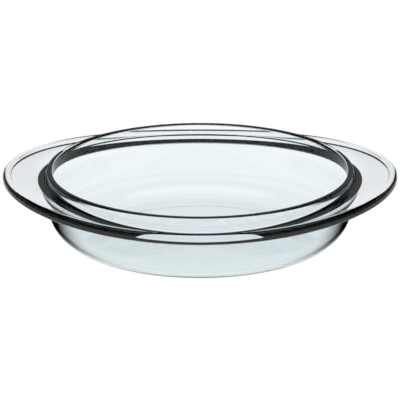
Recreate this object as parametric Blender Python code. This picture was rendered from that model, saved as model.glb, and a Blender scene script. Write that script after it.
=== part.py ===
# Oval baking dish of clear pressed glass, at real size.
# It is one piece of glass: a flat floor, a rounded bowl wall, a flange that rises to an ear at each
# end, and above the flange a collar with a flat-topped rim. Metres, +Z up, ears along X, foot on z = 0.
import math

import bmesh
import bpy

# Mouth, and the collar that stands round it above the flange
DISH_HEIGHT = 0.0761
MOUTH_LENGTH = 0.3053
MOUTH_WIDTH = 0.2320
RIM_THICKNESS = 0.0058
RIM_CORNER = 0.0018
COLLAR_HEIGHT = 0.0158
COLLAR_DRAFT = math.radians(3.5)
COLLAR_FILLET_REACH = 0.0039
COLLAR_FILLET_RISE = 0.0035

# Flange: a web that thickens a little towards the collar, and the ears where it reaches out and up
EAR_REACH = 0.0436
SIDE_REACH = 0.0146
EAR_RISE = 0.0125
WEB_THICKNESS = 0.0059
WEB_TAPER = 0.0010

# Bead along the flange's edge: it stands above the web, higher at the sides than on the ears, and
# hangs a little below it
BEAD_WIDTH = 0.0086
SIDE_BEAD_STEP = 0.0034
END_BEAD_STEP = 0.0018
BEAD_SLOPE = 0.0013
BEAD_DROP = 0.0005
UNDER_SLOPE = 0.0042
EDGE_ROUND_ABOVE = 0.0050
EDGE_ROUND_BELOW = 0.0022

# Outside of the bowl: its wall meets the flange near the foot of the collar
SHOULDER_END_STEP = 0.0066
SHOULDER_SIDE_STEP = -0.0010
END_FILLET = 0.0034
SIDE_FILLET = 0.0050
END_DRAFT = math.radians(16.0)
SIDE_DRAFT = math.radians(4.0)
END_CORNER = 0.0392
SIDE_CORNER = 0.0288

# Inside of the bowl
WALL_THICKNESS = 0.0056
FLOOR_THICKNESS = 0.0044
INSIDE_DRAFT = math.radians(1.0)

# Foot: a flat ring round a very shallow hollow in the underside
FOOT_WIDTH = 0.0080
FOOT_SLOPE = 0.0120
FOOT_HOLLOW = 0.0003

# How finely the rounded forms are cut: facets round the oval, and steps along each section curve
FACETS_AROUND = 80
CORNER_STEPS = 7
RIM_STEPS = 3
FILLET_STEPS = 4
EDGE_STEPS = 4
SLOPE_STEPS = 4
FOOT_STEPS = 3

GLASS_COLOUR = (0.86, 0.93, 0.93, 1.0)
GLASS_ROUGHNESS = 0.02
GLASS_INDEX = 1.47
SHARP_ANGLE = math.radians(40.0)

# Values that several forms share
mouth_l = MOUTH_LENGTH / 2
mouth_w = MOUTH_WIDTH / 2
flange_l = mouth_l + EAR_REACH
flange_w = mouth_w + SIDE_REACH
web_top = DISH_HEIGHT - COLLAR_HEIGHT
web_under = web_top - WEB_THICKNESS


def clear_scene():
    for item in list(bpy.data.objects):
        bpy.data.objects.remove(item, do_unlink=True)


def arc(out, up, radius, start, end, steps):
    """Points (out, up) of a round stretch, its angles in degrees counted up from straight outwards."""
    points = []
    for step in range(steps + 1):
        angle = math.radians(start + (end - start) * step / steps)
        points.append((out + radius * math.cos(angle), up + radius * math.sin(angle)))
    return points


def soft_slope(out, up, run, rise, steps):
    """Points of a soft S-shaped slope that ends `run` further out and `rise` higher than it starts."""
    points = []
    for step in range(steps + 1):
        share = step / steps
        points.append((out + run * share, up + rise * (1 - math.cos(math.pi * share)) / 2))
    return points


# The dish is a closed section carried round an oval. A ring is one point of that section:
# (half length, half width, height at the sides, height at the ends).

def flange_ring(half_length, half_width, side_height, end_height):
    """A ring on the flange, which rises with the square of its reach towards the ears."""
    rise = EAR_RISE * (half_length / flange_l) ** 2
    return (half_length, half_width, side_height, end_height + rise)


def bowl_section(top_radius, top_height, floor_height, corner, draft):
    """Points (radius, height) from the edge of the flat floor, round the corner, to the wall's top."""
    slope = math.pi / 2 - draft
    straight_height = top_height - floor_height - corner * (1 - math.cos(slope))
    flat_radius = top_radius - straight_height / math.tan(slope) - corner * math.sin(slope)
    points = arc(flat_radius, floor_height + corner, corner, -90, math.degrees(slope) - 90, CORNER_STEPS)
    points.append((top_radius, top_height))
    return points


def bowl_rings(top_ring, floor_height, inset, end_draft, side_draft):
    """One face of the bowl, from the floor's edge up to its top ring."""
    half_length, half_width, side_top, end_top = top_ring
    end = bowl_section(half_length, end_top, floor_height, END_CORNER - inset, end_draft)
    side = bowl_section(half_width, side_top, floor_height, SIDE_CORNER - inset, side_draft)
    return [(end_r, side_r, side_z, end_z) for (end_r, end_z), (side_r, side_z) in zip(end, side)]


def foot(base_l, base_w):
    """The soft slope from the hollow in the underside down to the flat ring the dish stands on."""
    slope = soft_slope(-FOOT_WIDTH - FOOT_SLOPE, FOOT_HOLLOW, FOOT_SLOPE, -FOOT_HOLLOW, FOOT_STEPS)
    return [(base_l + out, base_w + out, up, up) for out, up in slope]


def outer_bowl():
    """Foot, rounded corner and outside wall, then the fillet that spreads under the flange."""
    shoulder_l = mouth_l + SHOULDER_END_STEP
    shoulder_w = mouth_w + SHOULDER_SIDE_STEP
    top_ring = flange_ring(shoulder_l, shoulder_w, web_under - SIDE_FILLET, web_under - END_FILLET)
    wall = bowl_rings(top_ring, 0.0, 0.0, END_DRAFT, SIDE_DRAFT)
    spread = []
    for out, up in arc(1.0, -1.0, 1.0, 180, 90, FILLET_STEPS)[1:]:
        half_length = shoulder_l + END_FILLET * out
        half_width = shoulder_w + SIDE_FILLET * out
        side_height = web_under + SIDE_FILLET * up
        spread.append(flange_ring(half_length, half_width, side_height, web_under + END_FILLET * up))
    base_l, base_w = wall[0][:2]
    return foot(base_l, base_w) + wall + spread


def bead_section(step):
    """Points (out, up) down the soft slope under the bead, round its edge, and back down to the web."""
    under = web_under - BEAD_DROP
    top = web_top + step
    section = soft_slope(-BEAD_WIDTH, web_under, UNDER_SLOPE, -BEAD_DROP, SLOPE_STEPS)
    section += arc(-EDGE_ROUND_BELOW, under + EDGE_ROUND_BELOW, EDGE_ROUND_BELOW, -90, 0, EDGE_STEPS)
    section += arc(-EDGE_ROUND_ABOVE, top - EDGE_ROUND_ABOVE, EDGE_ROUND_ABOVE, 0, 90, EDGE_STEPS)
    section += soft_slope(BEAD_SLOPE - BEAD_WIDTH, top, -BEAD_SLOPE, -step, SLOPE_STEPS)
    return section


def bead():
    """The bead carried round the flange's edge, lower on the ears than at the sides."""
    rings = []
    for (out, side_up), (_, end_up) in zip(bead_section(SIDE_BEAD_STEP), bead_section(END_BEAD_STEP)):
        rings.append(flange_ring(flange_l + out, flange_w + out, side_up, end_up))
    return rings


def collar():
    """The fillet at the collar's foot, the collar's outside leaning in, and the flat-topped rim."""
    foot_height = web_top + WEB_TAPER
    corner_height = DISH_HEIGHT - RIM_CORNER
    lean = (corner_height - foot_height - COLLAR_FILLET_RISE) * math.tan(COLLAR_DRAFT)
    rings = []
    for out, up in arc(1.0, 1.0, 1.0, -90, -180, FILLET_STEPS):
        reach = lean + COLLAR_FILLET_REACH * out
        height = foot_height + COLLAR_FILLET_RISE * up
        rings.append(flange_ring(mouth_l + reach, mouth_w + reach, height, height))
    rim = arc(-RIM_CORNER, corner_height, RIM_CORNER, 0, 90, RIM_STEPS)
    rim += arc(RIM_CORNER - RIM_THICKNESS, corner_height, RIM_CORNER, 90, 180, RIM_STEPS)
    for out, up in rim:
        rings.append((mouth_l + out, mouth_w + out, up, up))
    return rings


def inner_bowl():
    """Inside wall from just below the rim down to the edge of the floor."""
    top = DISH_HEIGHT - RIM_CORNER
    top_ring = (mouth_l - RIM_THICKNESS, mouth_w - RIM_THICKNESS, top, top)
    wall = bowl_rings(top_ring, FLOOR_THICKNESS, WALL_THICKNESS, INSIDE_DRAFT, INSIDE_DRAFT)
    return wall[-2::-1]


def lay_ring(corners, ring, last_ring):
    """Stretches corners that lie on the last ring on to this one, an ellipse of uneven height."""
    half_length, half_width, side_height, end_height = ring
    for corner in corners:
        corner.co.x *= half_length / last_ring[0]
        corner.co.y *= half_width / last_ring[1]
        corner.co.z = side_height + (end_height - side_height) * (corner.co.x / half_length) ** 2


def glass():
    material = bpy.data.materials.new("clear_glass")
    material.use_nodes = True
    shader = material.node_tree.nodes["Principled BSDF"].inputs
    shader["Base Color"].default_value = GLASS_COLOUR
    shader["Roughness"].default_value = GLASS_ROUGHNESS
    shader["Metallic"].default_value = 0.0
    shader["IOR"].default_value = GLASS_INDEX
    shader["Transmission Weight"].default_value = 1.0
    return material


def baking_dish():
    """The whole dish: a flat oval pulled out ring by ring, and closed by the floor's flat oval."""
    rings = outer_bowl() + bead() + collar() + inner_bowl()
    mesh = bmesh.new()
    corners = bmesh.ops.create_circle(mesh, cap_ends=True, segments=FACETS_AROUND, radius=1.0)["verts"]
    lay_ring(corners, rings[0], (1.0, 1.0))
    edges = mesh.edges[:]
    for last_ring, ring in zip(rings, rings[1:]):
        pulled = bmesh.ops.extrude_edge_only(mesh, edges=edges)["geom"]
        lay_ring([part for part in pulled if isinstance(part, bmesh.types.BMVert)], ring, last_ring)
        edges = [part for part in pulled if isinstance(part, bmesh.types.BMEdge)]
    bmesh.ops.edgeloop_fill(mesh, edges=edges)
    bmesh.ops.recalc_face_normals(mesh, faces=mesh.faces)
    data = bpy.data.meshes.new("baking_dish")
    mesh.to_mesh(data)
    mesh.free()
    data.shade_smooth()
    data.set_sharp_from_angle(angle=SHARP_ANGLE)
    data.materials.append(glass())
    dish = bpy.data.objects.new("baking_dish", data)
    bpy.context.scene.collection.objects.link(dish)


clear_scene()
baking_dish()
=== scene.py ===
import math

import bmesh
import bpy
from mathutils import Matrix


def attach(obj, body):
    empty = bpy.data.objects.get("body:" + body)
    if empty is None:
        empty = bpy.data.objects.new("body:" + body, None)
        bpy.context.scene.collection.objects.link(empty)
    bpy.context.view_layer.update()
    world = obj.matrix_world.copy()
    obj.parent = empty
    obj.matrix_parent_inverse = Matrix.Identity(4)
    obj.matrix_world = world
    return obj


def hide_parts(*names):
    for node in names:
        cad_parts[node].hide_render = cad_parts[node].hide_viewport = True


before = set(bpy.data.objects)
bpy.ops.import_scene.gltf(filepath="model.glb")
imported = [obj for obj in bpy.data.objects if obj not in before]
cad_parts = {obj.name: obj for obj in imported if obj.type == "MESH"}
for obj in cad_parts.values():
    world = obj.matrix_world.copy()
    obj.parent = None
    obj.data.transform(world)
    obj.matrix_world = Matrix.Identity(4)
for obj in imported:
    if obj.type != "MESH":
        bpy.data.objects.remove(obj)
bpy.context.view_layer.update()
scene = bpy.context.scene


# Outside of the bowl: the foot ring that the dish stands on, the large pressed corner, the wall that
# leans at the ends and is steep at the sides, and the fillet under the flange. A form is a list of
# rings: (half length, half width, height at the sides, height at the ends).
DISH_HEIGHT = 0.0761
MOUTH_L = 0.3053 / 2
MOUTH_W = 0.2320 / 2
COLLAR_HEIGHT = 0.0158
WEB_THICKNESS = 0.0059
FLANGE_L = MOUTH_L + 0.0436
FLANGE_W = MOUTH_W + 0.0146
EAR_RISE = 0.0125
SHOULDER_L = MOUTH_L + 0.0066
SHOULDER_W = MOUTH_W - 0.0010
END_FILLET, SIDE_FILLET = 0.0034, 0.0050
END_DRAFT, SIDE_DRAFT = math.radians(16.0), math.radians(4.0)
END_CORNER, SIDE_CORNER = 0.0392, 0.0288
FOOT_WIDTH, FOOT_SLOPE, FOOT_HOLLOW = 0.0080, 0.0120, 0.0003
FOOT_STEPS, CORNER_STEPS, WALL_STEPS, FILLET_STEPS = 12, 24, 6, 12
web_top = DISH_HEIGHT - COLLAR_HEIGHT
web_under = web_top - WEB_THICKNESS


def arc(out, up, radius, start, end, steps):
    """Points (out, up) of a round stretch, its angles in degrees counted up from straight outwards."""
    angles = [math.radians(start + (end - start) * step / steps) for step in range(steps + 1)]
    return [(out + radius * math.cos(a), up + radius * math.sin(a)) for a in angles]


def soft_slope(out, up, run, rise, steps):
    """Points of a soft S-shaped slope that ends `run` further out and `rise` higher than it starts."""
    shares = [step / steps for step in range(steps + 1)]
    return [(out + run * share, up + rise * (1 - math.cos(math.pi * share)) / 2) for share in shares]


def flange_ring(half_length, half_width, side_height, end_height):
    """A ring on the flange, which rises with the square of its reach towards the ears."""
    return (half_length, half_width, side_height, end_height + EAR_RISE * (half_length / FLANGE_L) ** 2)


def bowl_section(top_radius, top_height, floor_height, corner, draft):
    """Points (radius, height) from the flat floor's edge, round the corner, to the wall's top."""
    slope = math.pi / 2 - draft
    straight_height = top_height - floor_height - corner * (1 - math.cos(slope))
    flat_radius = top_radius - straight_height / math.tan(slope) - corner * math.sin(slope)
    points = arc(flat_radius, floor_height + corner, corner, -90, math.degrees(slope) - 90, CORNER_STEPS)
    low_radius, low_height = points[-1]
    for step in range(1, WALL_STEPS + 1):
        share = step / WALL_STEPS
        radius = low_radius + share * (top_radius - low_radius)
        points.append((radius, low_height + share * (top_height - low_height)))
    return points


def bowl_rings(top_ring, floor_height, inset, end_draft, side_draft):
    """One face of the bowl, from the floor's edge up to its top ring."""
    end = bowl_section(top_ring[0], top_ring[3], floor_height, END_CORNER - inset, end_draft)
    side = bowl_section(top_ring[1], top_ring[2], floor_height, SIDE_CORNER - inset, side_draft)
    return [(end_r, side_r, side_z, end_z) for (end_r, end_z), (side_r, side_z) in zip(end, side)]


shoulder = flange_ring(SHOULDER_L, SHOULDER_W, web_under - SIDE_FILLET, web_under - END_FILLET)
outer_wall = bowl_rings(shoulder, 0.0, 0.0, END_DRAFT, SIDE_DRAFT)
base_l, base_w = outer_wall[0][:2]
slope = soft_slope(-FOOT_WIDTH - FOOT_SLOPE, FOOT_HOLLOW, FOOT_SLOPE, -FOOT_HOLLOW, FOOT_STEPS)
foot = [(base_l + out, base_w + out, up, up) for out, up in slope]
spread = []
for out, up in arc(1.0, -1.0, 1.0, 180, 90, FILLET_STEPS)[1:]:
    half_length = SHOULDER_L + END_FILLET * out
    half_width = SHOULDER_W + SIDE_FILLET * out
    side_height = web_under + SIDE_FILLET * up
    spread.append(flange_ring(half_length, half_width, side_height, web_under + END_FILLET * up))
bowl_outside = foot + outer_wall + spread


# Bead: the thicker edge of the flange, pressed in one with it. It stands above the web with a soft
# slope and hangs a little below it, and it is higher at the sides than round the two ears.
BEAD_WIDTH, BEAD_SLOPE, SIDE_BEAD_STEP, END_BEAD_STEP = 0.0086, 0.0013, 0.0034, 0.0018
BEAD_DROP, UNDER_SLOPE, EDGE_ROUND_ABOVE, EDGE_ROUND_BELOW = 0.0005, 0.0042, 0.0050, 0.0022
EDGE_STEPS, SLOPE_STEPS = 12, 16


def bead_section(step):
    """Points (out, up) down the soft slope under the bead, round its edge, and back down to the web."""
    under = web_under - BEAD_DROP
    top = web_top + step
    section = soft_slope(-BEAD_WIDTH, web_under, UNDER_SLOPE, -BEAD_DROP, SLOPE_STEPS)
    section += arc(-EDGE_ROUND_BELOW, under + EDGE_ROUND_BELOW, EDGE_ROUND_BELOW, -90, 0, EDGE_STEPS)
    section += arc(-EDGE_ROUND_ABOVE, top - EDGE_ROUND_ABOVE, EDGE_ROUND_ABOVE, 0, 90, EDGE_STEPS)
    section += soft_slope(BEAD_SLOPE - BEAD_WIDTH, top, -BEAD_SLOPE, -step, SLOPE_STEPS)
    return section


bead = []
for (out, side_up), (_, end_up) in zip(bead_section(SIDE_BEAD_STEP), bead_section(END_BEAD_STEP)):
    bead.append(flange_ring(FLANGE_L + out, FLANGE_W + out, side_up, end_up))


# Collar: a low ring of glass that stands on the flange round the mouth, leans in a little for the
# mould, and ends in a flat rim with rounded corners. A soft fillet joins it to the web below.
RIM_THICKNESS, RIM_CORNER, COLLAR_DRAFT = 0.0058, 0.0018, math.radians(3.5)
COLLAR_FILLET_REACH, COLLAR_FILLET_RISE, WEB_TAPER = 0.0039, 0.0035, 0.0010
RIM_STEPS = 10
foot_height = web_top + WEB_TAPER
corner_height = DISH_HEIGHT - RIM_CORNER
lean = (corner_height - foot_height - COLLAR_FILLET_RISE) * math.tan(COLLAR_DRAFT)
collar = []
for out, up in arc(1.0, 1.0, 1.0, -90, -180, FILLET_STEPS):
    reach = lean + COLLAR_FILLET_REACH * out
    height = foot_height + COLLAR_FILLET_RISE * up
    collar.append(flange_ring(MOUTH_L + reach, MOUTH_W + reach, height, height))
rim = arc(-RIM_CORNER, corner_height, RIM_CORNER, 0, 90, RIM_STEPS)
rim += arc(RIM_CORNER - RIM_THICKNESS, corner_height, RIM_CORNER, 90, 180, RIM_STEPS)
for out, up in rim:
    collar.append((MOUTH_L + out, MOUTH_W + out, up, up))


# Inside of the bowl: one smooth face from the rim down the wall and round the corner to the flat
# floor, shaped by the plunger that pressed the glass.
WALL_THICKNESS, FLOOR_THICKNESS, INSIDE_DRAFT = 0.0056, 0.0044, math.radians(1.0)
inside_top = (MOUTH_L - RIM_THICKNESS, MOUTH_W - RIM_THICKNESS, corner_height, corner_height)
inner_wall = bowl_rings(inside_top, FLOOR_THICKNESS, WALL_THICKNESS, INSIDE_DRAFT, INSIDE_DRAFT)
inside = inner_wall[-2::-1]


# The pressed glass itself: all those forms are one closed skin, with the underside and the floor
# closed by flat ovals, so the whole dish is a single piece of clear glass with a light blue-green tint.
FACETS_AROUND = 288
SHARP_ANGLE = math.radians(40.0)


def lay_ring(corners, ring, last_ring):
    """Stretches corners that lie on the last ring on to this one, an ellipse of uneven height."""
    half_length, half_width, side_height, end_height = ring
    for corner in corners:
        corner.co.x *= half_length / last_ring[0]
        corner.co.y *= half_width / last_ring[1]
        corner.co.z = side_height + (end_height - side_height) * (corner.co.x / half_length) ** 2


rings = bowl_outside + bead + collar + inside
mesh = bmesh.new()
corners = bmesh.ops.create_circle(mesh, cap_ends=True, segments=FACETS_AROUND, radius=1.0)["verts"]
lay_ring(corners, rings[0], (1.0, 1.0))
edges = mesh.edges[:]
for last_ring, ring in zip(rings, rings[1:]):
    pulled = bmesh.ops.extrude_edge_only(mesh, edges=edges)["geom"]
    lay_ring([part for part in pulled if isinstance(part, bmesh.types.BMVert)], ring, last_ring)
    edges = [part for part in pulled if isinstance(part, bmesh.types.BMEdge)]
bmesh.ops.edgeloop_fill(mesh, edges=edges)
bmesh.ops.recalc_face_normals(mesh, faces=mesh.faces)
dish_mesh = bpy.data.meshes.new("glass_dish")
mesh.to_mesh(dish_mesh)
mesh.free()
dish_mesh.shade_smooth()
dish_mesh.set_sharp_from_angle(angle=SHARP_ANGLE)
dish = bpy.data.objects.new("glass_dish", dish_mesh)
scene.collection.objects.link(dish)


class Socket:
    """An output socket of a node, for use in shader maths."""

    def __init__(self, nodes, socket):
        self.nodes = nodes
        self.socket = socket

    def math(self, operation, other):
        """A Math node of this socket and another socket or number."""
        return self.nodes.add("ShaderNodeMath", {"operation": operation}, {0: self, 1: other})

    def rise(self, start, end):
        """A smooth rise from 0, where this socket is at the start or below, to 1 at the end."""
        limits = {"Value": self, "From Min": start, "From Max": end}
        return self.nodes.add("ShaderNodeMapRange", {"interpolation_type": "SMOOTHSTEP"}, limits)

    def beside(self, name):
        """Another output of the same node."""
        return Socket(self.nodes, self.socket.node.outputs[name])

    def __add__(self, other):
        return self.math("ADD", other)

    def __mul__(self, other):
        return self.math("MULTIPLY", other)

    def __gt__(self, other):
        return self.math("GREATER_THAN", other)

    def __rsub__(self, other):
        return self.nodes.add("ShaderNodeMath", {"operation": "SUBTRACT"}, {0: other, 1: self})

    __radd__ = __add__
    __rmul__ = __mul__


class Nodes:
    """The node tree of one material or of the world."""

    def __init__(self, owner):
        owner.use_nodes = True
        self.tree = owner.node_tree
        self.tree.nodes.clear()

    def add(self, kind, settings=None, inputs=None, output=0):
        """One node: its settings first, then the values or links of its sockets."""
        node = self.tree.nodes.new(kind)
        for name, value in (settings or {}).items():
            if name == "stops":
                while len(node.color_ramp.elements) < len(value):
                    node.color_ramp.elements.new(1.0)
                for element, (position, colour) in zip(node.color_ramp.elements, value):
                    element.position = position
                    element.color = colour
            else:
                setattr(node, name, value)
        for name, value in (inputs or {}).items():
            if isinstance(value, Socket):
                self.tree.links.new(value.socket, node.inputs[name])
            else:
                node.inputs[name].default_value = value
        return Socket(self, node.outputs[output]) if len(node.outputs) else node


BOWL_TINT, FLANGE_TINT = (0.897, 0.945, 0.951, 1.0), (0.985, 0.99, 1.0, 1.0)
FLANGE_FADE_START, FLANGE_FADE_END = 0.050, 0.056
GLASS_INDEX = 1.50
DEEP_COLOUR, DEPTH_DENSITY = (0.225, 0.575, 0.71, 1.0), 8.0
RIPPLE_SCALE, RIPPLE_DETAIL, RIPPLE_STRENGTH, RIPPLE_DEPTH = 14.0, 1.0, 0.08, 0.004
SMUDGE_SCALE, SMUDGE_DETAIL, SMUDGE_ROUGHNESS = 60.0, 3.0, 0.012

glass = bpy.data.materials.new("clear_glass")
nodes = Nodes(glass)
place = nodes.add("ShaderNodeTexCoord", output="Object")
height = nodes.add("ShaderNodeSeparateXYZ", inputs={0: place}, output="Z")
ripple_noise = {"Vector": place, "Scale": RIPPLE_SCALE, "Detail": RIPPLE_DETAIL}
ripple = nodes.add("ShaderNodeTexNoise", inputs=ripple_noise)
smudge_noise = {"Vector": place, "Scale": SMUDGE_SCALE, "Detail": SMUDGE_DETAIL}
smudges = nodes.add("ShaderNodeTexNoise", inputs=smudge_noise)
ripple_bump = {"Strength": RIPPLE_STRENGTH, "Distance": RIPPLE_DEPTH, "Height": ripple}
mould_ripple = nodes.add("ShaderNodeBump", inputs=ripple_bump)

# The bowl's glass is tinted a little deeper than that of the flange and the collar.
on_flange = height.rise(FLANGE_FADE_START, FLANGE_FADE_END)
tints = {0: on_flange, 6: BOWL_TINT, 7: FLANGE_TINT}
shader = nodes.add("ShaderNodeBsdfPrincipled", inputs={
    "Base Color": nodes.add("ShaderNodeMix", {"data_type": "RGBA"}, tints, output=2),
    "Roughness": smudges * SMUDGE_ROUGHNESS,
    "IOR": GLASS_INDEX,
    "Transmission Weight": 1.0,
    "Normal": mould_ripple,
})

# Painted shade: in real glass a far face met aslant from inside throws the light back and shows dark,
# more of it near the rim and none at the foot, and the outer wall darkens where it turns away. Here
# that darkness is painted: two masks of the viewing angle mix a near-black matt shader into the glass.
# This painted shade stands in for most of the dark lines of real glass, which refraction in this light
# gives paler.
PAINTED_EDGE_SHADE = (0.006, 0.009, 0.009, 1.0)
PAINTED_SHADE_ROUGHNESS = 0.5
EVEN_BLEND = 0.5
PAINTED_SHADE_START, PAINTED_SHADE_END = 0.24, 0.29
FOOT_FADE_START, FOOT_FADE_END = 0.008, 0.022
RIM_FADE_START, RIM_FADE_END, RIM_EXTRA = 0.0665, 0.0715, 0.10
TURNED_START, TURNED_END = 0.40, 0.75
WALL_FADE_START, WALL_FADE_END = 0.012, 0.028

facing = nodes.add("ShaderNodeLayerWeight", inputs={"Blend": EVEN_BLEND}, output="Facing")
inner_side = nodes.add("ShaderNodeNewGeometry", output="Backfacing")
above_foot = height.rise(FOOT_FADE_START, FOOT_FADE_END)
near_rim = height.rise(RIM_FADE_START, RIM_FADE_END)
aslant = (facing + near_rim * RIM_EXTRA).rise(PAINTED_SHADE_START, PAINTED_SHADE_END)
# Mask of painted shade on inner faces met aslant, fading out towards the foot.
painted_inner_shade = aslant * above_foot * inner_side

outwards = {0: place, 1: place.beside("Normal")}
away = nodes.add("ShaderNodeVectorMath", {"operation": "DOT_PRODUCT"}, outwards, output="Value")
outer_face = away > 0.0
on_wall = height.rise(WALL_FADE_START, WALL_FADE_END) * (1 - on_flange)
# Mask of painted shade on the outer wall where it turns away from the view.
painted_wall_shade = facing.rise(TURNED_START, TURNED_END) * outer_face * on_wall * (1 - inner_side)
# The near-black matt shader that the painted shade mixes into the glass.
painted_shade_shader = nodes.add("ShaderNodeBsdfPrincipled", inputs={
    "Base Color": PAINTED_EDGE_SHADE,
    "Roughness": PAINTED_SHADE_ROUGHNESS,
    "Specular IOR Level": 0.0,
})
# The glass with the painted shade mixed in by the two masks.
skin = nodes.add("ShaderNodeMixShader", inputs={0: painted_inner_shade + painted_wall_shade, 1: shader, 2: painted_shade_shader})
absorption = {"Color": DEEP_COLOUR, "Density": DEPTH_DENSITY}
depth_tint = nodes.add("ShaderNodeVolumeAbsorption", inputs=absorption)
nodes.add("ShaderNodeOutputMaterial", inputs={"Surface": skin, "Volume": depth_tint})
dish_mesh.materials.append(glass)
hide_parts("baking_dish")
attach(dish, "root")


# Floor: a plain surface whose own glow the camera and the glass see as nearly white. The light that
# falls on its matt grey adds the rest, so that it keeps the faint shadow of the clear dish.
FLOOR_GAP = 0.0002
FLOOR_SIZE = 12.0
WHITE = (1.0, 1.0, 1.0, 1.0)
FLOOR_GLOW, FLOOR_GREY = 0.98, (0.10, 0.10, 0.10, 1.0)
bpy.ops.mesh.primitive_plane_add(size=FLOOR_SIZE, location=(0, 0, -FLOOR_GAP))
floor = bpy.context.object
floor.name = "floor"
paint = bpy.data.materials.new("floor_white")
nodes = Nodes(paint)
camera_ray = nodes.add("ShaderNodeLightPath", output="Is Camera Ray")
seen = camera_ray.math("MAXIMUM", camera_ray.beside("Is Glossy Ray"))
seen = seen.math("MAXIMUM", camera_ray.beside("Is Transmission Ray"))
glow = nodes.add("ShaderNodeEmission", inputs={"Color": WHITE, "Strength": seen * FLOOR_GLOW})
matt = nodes.add("ShaderNodeBsdfDiffuse", inputs={"Color": FLOOR_GREY})
both = nodes.add("ShaderNodeAddShader", inputs={0: glow, 1: matt})
nodes.add("ShaderNodeOutputMaterial", inputs={"Surface": both})
floor.data.materials.append(paint)


# Studio: white surroundings below the horizon, dark ones above it with one dim panel all round, and
# a soft white panel overhead, as clear glass is often photographed. Only the camera sees plain white.
# A level is 0 straight down, 0.5 at the horizon and 1 straight up: half of 1 plus the angle's sine.
DARK, DIM = (0.0, 0.0, 0.0, 1.0), (0.41, 0.415, 0.43, 1.0)
WHITE_TO, DARK_FROM = 0.51, 0.555
DARK_TO, PANEL_FROM, PANEL_TO, DARK_AGAIN = 0.63, 0.67, 0.79, 0.83
OVERHEAD_FADE, OVERHEAD_FROM = 0.94, 0.97
world = bpy.data.worlds.new("studio")
scene.world = world
nodes = Nodes(world)
direction = nodes.add("ShaderNodeTexCoord", output="Generated")
upwards = nodes.add("ShaderNodeSeparateXYZ", inputs={0: direction}, output="Z")
surroundings = nodes.add("ShaderNodeValToRGB", {"stops": [
    (0.0, WHITE), (WHITE_TO, WHITE), (DARK_FROM, DARK),
    (DARK_TO, DARK), (PANEL_FROM, DIM), (PANEL_TO, DIM), (DARK_AGAIN, DARK),
    (OVERHEAD_FADE, DARK), (OVERHEAD_FROM, WHITE),
]}, {0: upwards * 0.5 + 0.5})
camera_ray = nodes.add("ShaderNodeLightPath", output="Is Camera Ray")
backdrop = {0: camera_ray, 6: surroundings, 7: WHITE}
sky = nodes.add("ShaderNodeMix", {"data_type": "RGBA"}, backdrop, output=2)
background = nodes.add("ShaderNodeBackground", inputs={"Color": sky})
nodes.add("ShaderNodeOutputWorld", inputs={"Surface": background})


# Camera: far off and 25 degrees above the table, as in the photograph. It looks along +Y at the
# middle of the dish, and one millimetre there fills one pixel of the 400-pixel frame.
ELEVATION = math.radians(25.0)
DISTANCE = 2.5
AIM_HEIGHT = 0.0414
PIXELS_PER_METRE = 1000.0
FRAME_PIXELS = 400
SENSOR_WIDTH = 36.0
FAR_CLIP = 100.0
lens_camera = bpy.data.cameras.new("camera")
lens_camera.sensor_width = SENSOR_WIDTH
lens_camera.lens = DISTANCE * PIXELS_PER_METRE / FRAME_PIXELS * SENSOR_WIDTH
lens_camera.clip_end = FAR_CLIP
camera = bpy.data.objects.new("camera", lens_camera)
camera.location = (0.0, -DISTANCE * math.cos(ELEVATION), AIM_HEIGHT + DISTANCE * math.sin(ELEVATION))
camera.rotation_euler = (math.pi / 2 - ELEVATION, 0.0, 0.0)
scene.collection.objects.link(camera)
scene.camera = camera
scene.view_settings.view_transform = "Standard"
